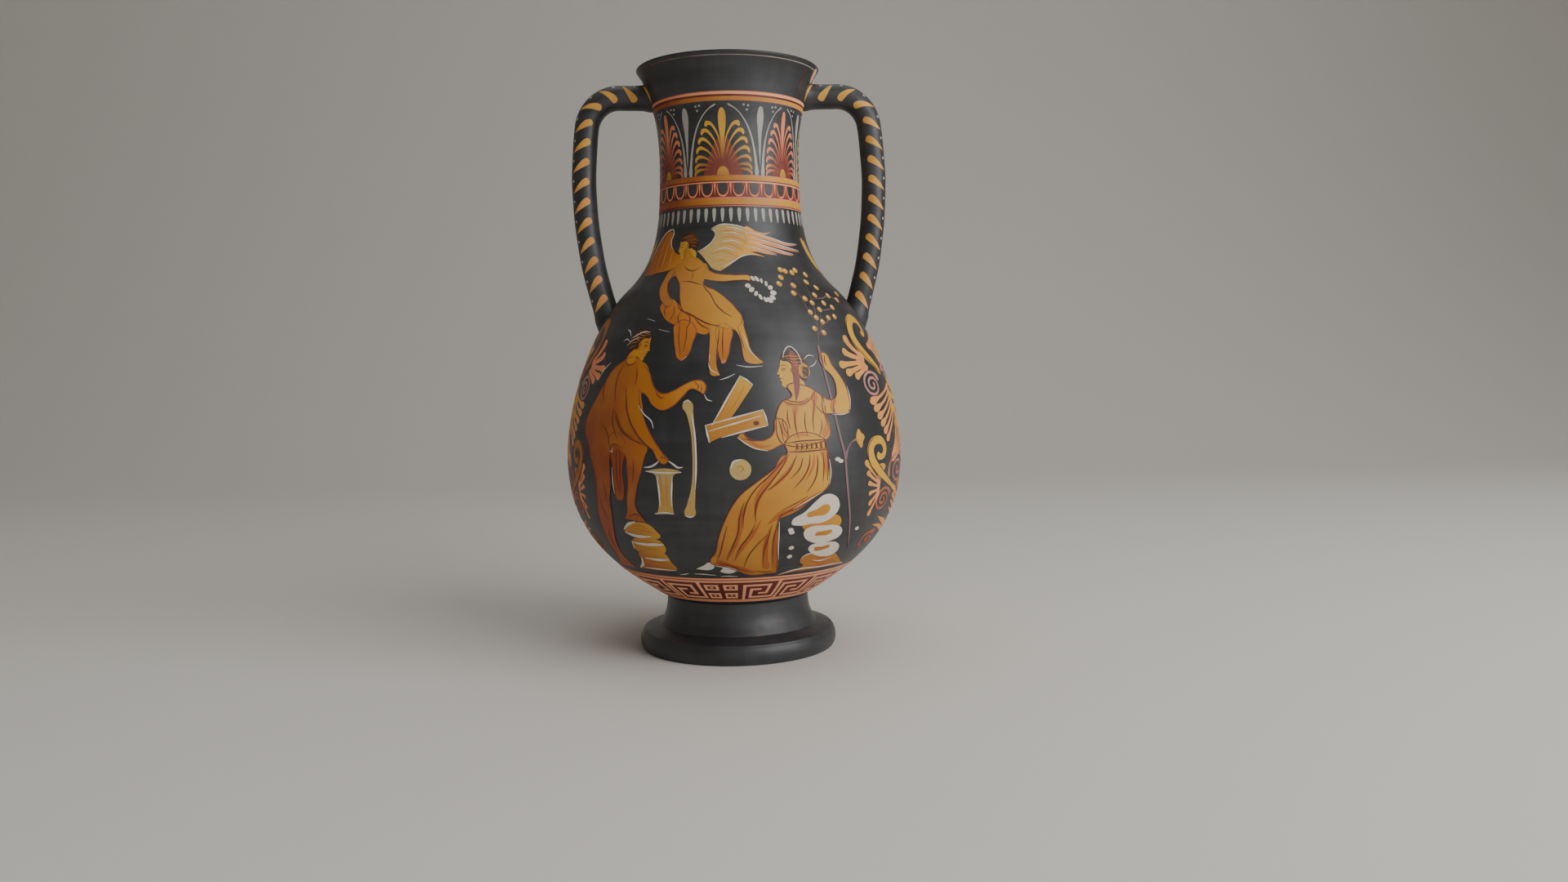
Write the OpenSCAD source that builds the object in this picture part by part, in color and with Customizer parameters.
// Two-handled storage amphora, built the way a potter builds it: foot, belly, neck and
// mouth are thrown separately, the handles are rolled, and slip lutes the pieces together.
// Millimetres, +Z up, origin at the centre of the resting circle. The handles lie along X.

/* [Foot] */
// Largest radius of the foot
foot_r = 78.5; // [77:0.5:84]
// Outer radius of the ring that the foot rests on
rest_r = 76.5; // [74:0.5:76.5]
// Height of the rounded lower band of the foot
foot_band_h = 15; // [12:0.5:16.5]
// Radius of the crease between the foot's sloping tread and the stem
foot_crease_r = 63; // [62:0.5:66]
// Height of that crease
foot_crease_h = 18.5; // [17.5:0.5:21]
// Radius of the stem
stem_r = 56.5; // [50:0.5:60]
// Height at which the foot meets the belly
stem_h = 42; // [38:0.5:46]

/* [Belly] */
// Largest radius of the belly
belly_r = 131.5; // [124:0.5:140]
// Height of the belly's widest circle
belly_h = 152; // [140:1:165]
// Radius of the shoulder at its steepest point
shoulder_r = 82; // [76:0.5:88]
// Height of that point
shoulder_h = 281; // [270:1:288]
// Wall of the belly
belly_wall = 5; // [4:0.5:7]
// Thickness of the floor inside the belly
floor_t = 8; // [6:0.5:12]

/* [Neck] */
// Radius of the neck at its waist
neck_r = 54.5; // [50:0.5:58]
// Height of the neck's waist
neck_h = 379; // [370:1:388]
// Height of the seam between shoulder and neck
neck_seam_h = 300; // [296:1:312]
// Wall of the neck
neck_wall = 5.5; // [4:0.5:7]

/* [Mouth] */
// Radius of the lip
lip_r = 72; // [68:0.5:78]
// Overall height of the amphora
height = 450; // [446:1:460]
// Height of the seam between neck and mouth
mouth_seam_h = 417; // [412:1:420]
// Wall of the mouth at the lip
lip_wall = 5; // [4:0.5:7]

/* [Handles] */
// Thickness of a handle
handle_t = 20; // [16:0.5:22]
// Distance from the axis to a handle's centre line at its furthest
handle_reach = 113; // [113:1:120]
// Height of the level upper arm's centre line
handle_top_h = 430; // [427:0.5:431]
// Distance from the axis to the centre of the upper bend
handle_bend_x = 84; // [82:1:86]
// Radius of the upper bend
handle_bend_r = 26; // [22:1:26]
// Radius of the long bowed grip
handle_bow_r = 330; // [300:10:380]

/* [Hidden] */

$fn = 96;
lathe_sides = 180;
slip_t = 0.6;          // a luted joint's layer of slip
root_slip_t = 1.2;     // the thicker pad of slip under a handle's root
root_spread = 1.5;     // how far a root's pad shows past the handle
root_sink = 8;         // how far the upper arm's core would run into the neck before trimming
curve_steps = 20;      // straight steps that stand for one curve of the outline
seam_gap = 1;          // outline points nearer a seam than this are left out
foot_wall = 9;
foot_steps = 8;
band_bulge = 3.8;      // how far the foot's band rounds out
band_start_a = -50;    // the band's arc, from its lower corner to its upper one
band_end_a = 75;
floor_start = 0.12;    // share of the bowl's curve below the inner floor's corner
grip_end_a = 21;       // degrees of the bowed grip below its widest point, before trimming
grip_steps = 16;
bend_steps = 9;
bar_sides = 24;
black_gloss = "darkslategray";
raw_slip = "sienna";

// ---- Curves of the outline ----
function bezier(p, t) =
    pow(1 - t, 3) * p[0] + 3 * pow(1 - t, 2) * t * p[1]
    + 3 * (1 - t) * t * t * p[2] + pow(t, 3) * p[3];
function bezier_slope(p, t) =
    3 * pow(1 - t, 2) * (p[1] - p[0]) + 6 * (1 - t) * t * (p[2] - p[1]) + 3 * t * t * (p[3] - p[2]);
// The point a wall's thickness inside the curve
function inside(p, t, wall) =
    let (d = bezier_slope(p, t)) bezier(p, t) + wall * [-d[1], d[0]] / norm(d);
// The curve's parameter at a height, by halving
function at_height(p, z, lo = 0, hi = 1, n = 24) =
    n == 0 ? (lo + hi) / 2
    : let (m = (lo + hi) / 2) bezier(p, m)[1] < z ? at_height(p, z, m, hi, n - 1) : at_height(p, z, lo, m, n - 1);
function outline(p, t0, t1) = [for (i = [0:curve_steps]) bezier(p, t0 + (t1 - t0) * i / curve_steps)];
function lining(p, t0, t1, wall) =
    [for (i = [curve_steps:-1:0]) inside(p, t0 + (t1 - t0) * i / curve_steps, wall)];
// The points whose height lies between two limits
function between(points, z_low, z_high) = [for (p = points) if (p[1] > z_low && p[1] < z_high) p];

// Each curve is a cubic in [radius, height]: its ends are the named circles, and the two
// middle points lie on the tangents there
shoulder_lean = [-27, 25];
bowl_curve = [[stem_r + 0.5, stem_h], [stem_r + 37, stem_h + 24], [belly_r, belly_h - 63], [belly_r, belly_h]];
belly_curve = [[belly_r, belly_h], [belly_r, belly_h + 42],
               [shoulder_r, shoulder_h] - shoulder_lean, [shoulder_r, shoulder_h]];
throat_curve = [[shoulder_r, shoulder_h], [shoulder_r, shoulder_h] + 0.9 * shoulder_lean,
                [neck_r, neck_h - 44], [neck_r, neck_h]];
mouth_curve = [[neck_r, neck_h], [neck_r, neck_h + 19], [lip_r - 14, height - 17], [lip_r, height]];
flare_curve = [[foot_crease_r, foot_crease_h], [foot_crease_r - 3.2, foot_crease_h + 5.5],
               [stem_r, stem_h - 14], [stem_r, stem_h - slip_t]];
hollow_curve = [[rest_r - foot_wall, 0], [rest_r - foot_wall, 12],
                [stem_r - foot_wall, stem_h - 18], [stem_r - foot_wall, stem_h - slip_t]];

neck_seam_t = at_height(throat_curve, neck_seam_h);
mouth_seam_t = at_height(mouth_curve, mouth_seam_h);
neck_seam_r = bezier(throat_curve, neck_seam_t)[0];
neck_seam_bore_r = inside(throat_curve, neck_seam_t, belly_wall)[0];
mouth_seam_r = bezier(mouth_curve, mouth_seam_t)[0];
mouth_seam_bore_r = inside(mouth_curve, mouth_seam_t, neck_wall)[0];

// ---- Thrown pieces ----
module lathe(points) rotate_extrude($fn = lathe_sides) polygon(points);

module foot() color(black_gloss) {
    band = [for (i = [0:foot_steps]) let (a = band_start_a + (band_end_a - band_start_a) * i / foot_steps)
            [foot_r + band_bulge * (cos(a) - 1), foot_band_h / 2 * (1 + sin(a) / sin(band_end_a))]];
    flare = [for (i = [0:foot_steps]) bezier(flare_curve, i / foot_steps)];
    hollow = [for (i = [foot_steps:-1:0]) bezier(hollow_curve, i / foot_steps)];
    lathe(concat([[rest_r, 0]], band, flare, hollow));
}

module lower_belly() color(black_gloss) {
    wall = lining(bowl_curve, floor_start, 1, belly_wall);
    lathe(concat([[0, stem_h]], outline(bowl_curve, 0, 1), [[belly_r - belly_wall, belly_h]],
                 between(wall, stem_h + floor_t + seam_gap, belly_h - seam_gap),
                 [[wall[curve_steps][0], stem_h + floor_t], [0, stem_h + floor_t]]));
}

module upper_belly() color(black_gloss) {
    low = belly_h + slip_t;
    high = neck_seam_h - slip_t;
    lathe(concat([[belly_r, low]],
                 between(outline(belly_curve, 0, 1), low + seam_gap, height),
                 between(outline(throat_curve, 0, neck_seam_t), shoulder_h + seam_gap, high - seam_gap),
                 [[neck_seam_r, high], [neck_seam_bore_r, high]],
                 between(lining(throat_curve, 0, neck_seam_t, belly_wall), shoulder_h - 3, high - seam_gap),
                 between(lining(belly_curve, 0, 1, belly_wall), low + seam_gap, shoulder_h - 4),
                 [[belly_r - belly_wall, low]]));
}

module neck() color(black_gloss) {
    low = neck_seam_h;
    high = mouth_seam_h - slip_t;
    lathe(concat([[neck_seam_r, low]],
                 between(outline(throat_curve, neck_seam_t, 1), low + seam_gap, neck_h + seam_gap),
                 between(outline(mouth_curve, 0, mouth_seam_t), neck_h + seam_gap, high - seam_gap),
                 [[mouth_seam_r, high], [mouth_seam_bore_r, high]],
                 between(lining(mouth_curve, 0, mouth_seam_t, neck_wall), neck_h + seam_gap, high - seam_gap),
                 between(lining(throat_curve, neck_seam_t, 1, neck_wall), low + seam_gap, neck_h - seam_gap),
                 [[neck_seam_bore_r, low]]));
}

module mouth() color(black_gloss) {
    low = mouth_seam_h;
    lathe(concat([[mouth_seam_r, low]],
                 between(outline(mouth_curve, mouth_seam_t, 1), low + seam_gap, height - seam_gap),
                 [[lip_r, height], [lip_r - lip_wall, height]],
                 between(lining(mouth_curve, mouth_seam_t, 1, lip_wall), low + seam_gap, height - 3),
                 [[mouth_seam_bore_r, low]]));
}

// The whole vessel's outside, swollen by a little, to trim handles and pads against
module vessel_blank(grow) {
    outside = concat(outline(belly_curve, 0, 1), outline(throat_curve, 0, 1), outline(mouth_curve, 0, 1));
    lathe(concat([[0, belly_h]], [for (p = outside) p + [grow, 0]], [[0, height]]));
}

// ---- Handles ----
tangent_a = acos((handle_bow_r - handle_reach + handle_bend_x) / (handle_bow_r - handle_bend_r));
bow_centre = [handle_reach - handle_bow_r, handle_top_h - handle_bend_r
              - (handle_bow_r - handle_bend_r) * sin(tangent_a)];

// The centre line as [x, z, heading], from inside the shoulder up the grip, round the bend
// and level into the neck
handle_line = concat(
    [for (i = [0:grip_steps]) let (a = -grip_end_a + (grip_end_a + tangent_a) * i / grip_steps)
     [bow_centre[0] + handle_bow_r * cos(a), bow_centre[1] + handle_bow_r * sin(a), a]],
    [for (i = [1:bend_steps]) let (a = tangent_a + (90 - tangent_a) * i / bend_steps)
     [handle_bend_x + handle_bend_r * cos(a), handle_top_h - handle_bend_r + handle_bend_r * sin(a), a]],
    [[neck_r - root_sink, handle_top_h, 90]]);

// A round bar of one radius swept along a list of [x, z, heading]
module bar(line, bar_r) {
    rings = len(line);
    points = [for (p = line, k = [0:bar_sides - 1]) let (b = 360 * k / bar_sides)
              [p[0] + bar_r * cos(b) * cos(p[2]), bar_r * sin(b), p[1] + bar_r * cos(b) * sin(p[2])]];
    skin = [for (i = [0:rings - 2], k = [0:bar_sides - 1]) let (n = (k + 1) % bar_sides)
            [i * bar_sides + k, (i + 1) * bar_sides + k, (i + 1) * bar_sides + n, i * bar_sides + n]];
    foot_end = [for (k = [0:bar_sides - 1]) k];
    neck_end = [for (k = [bar_sides - 1:-1:0]) (rings - 1) * bar_sides + k];
    polyhedron(points, concat(skin, [foot_end, neck_end]));
}

module handle() difference() {
    bar(handle_line, handle_t / 2);
    vessel_blank(root_slip_t);
}

// The pad of slip that a root stands on: the end of a slightly thicker bar, kept where it
// lies in the thin layer over the wall
module root_slip() intersection() {
    difference() {
        vessel_blank(root_slip_t);
        vessel_blank(0);
    }
    children();
}

module upper_root_slip() root_slip()
    translate([neck_r - root_sink, 0, handle_top_h]) rotate([0, 90, 0])
        cylinder(r = handle_t / 2 + root_spread, h = 3 * root_sink, $fn = 48);

module lower_root_slip() root_slip()
    translate([bow_centre[0], 0, bow_centre[1]]) rotate([90, 0, 0]) rotate([0, 0, -grip_end_a])
        rotate_extrude(angle = grip_end_a / 2, $fn = lathe_sides)
            translate([handle_bow_r, 0]) circle(handle_t / 2 + root_spread, $fn = 48);

module handle_right() color(black_gloss) handle();
module handle_left() color(black_gloss) mirror([1, 0, 0]) handle();
module right_upper_root_slip() color(raw_slip) upper_root_slip();
module right_lower_root_slip() color(raw_slip) lower_root_slip();
module left_upper_root_slip() color(raw_slip) mirror([1, 0, 0]) upper_root_slip();
module left_lower_root_slip() color(raw_slip) mirror([1, 0, 0]) lower_root_slip();

// ---- Luted seams ----
module seam(r_out, r_in, z_low) color(raw_slip) translate([0, 0, z_low]) difference() {
    cylinder(r = r_out, h = slip_t, $fn = lathe_sides);
    translate([0, 0, -1]) cylinder(r = r_in, h = slip_t + 2, $fn = lathe_sides);
}

module foot_slip_joint() seam(stem_r, stem_r - foot_wall, stem_h - slip_t);
module belly_slip_joint() seam(belly_r, belly_r - belly_wall, belly_h);
module neck_slip_joint() seam(neck_seam_r, neck_seam_bore_r, neck_seam_h - slip_t);
module mouth_slip_joint() seam(mouth_seam_r, mouth_seam_bore_r, mouth_seam_h - slip_t);

foot();
lower_belly();
upper_belly();
neck();
mouth();
handle_left();
handle_right();
foot_slip_joint();
belly_slip_joint();
neck_slip_joint();
mouth_slip_joint();
left_upper_root_slip();
left_lower_root_slip();
right_upper_root_slip();
right_lower_root_slip();
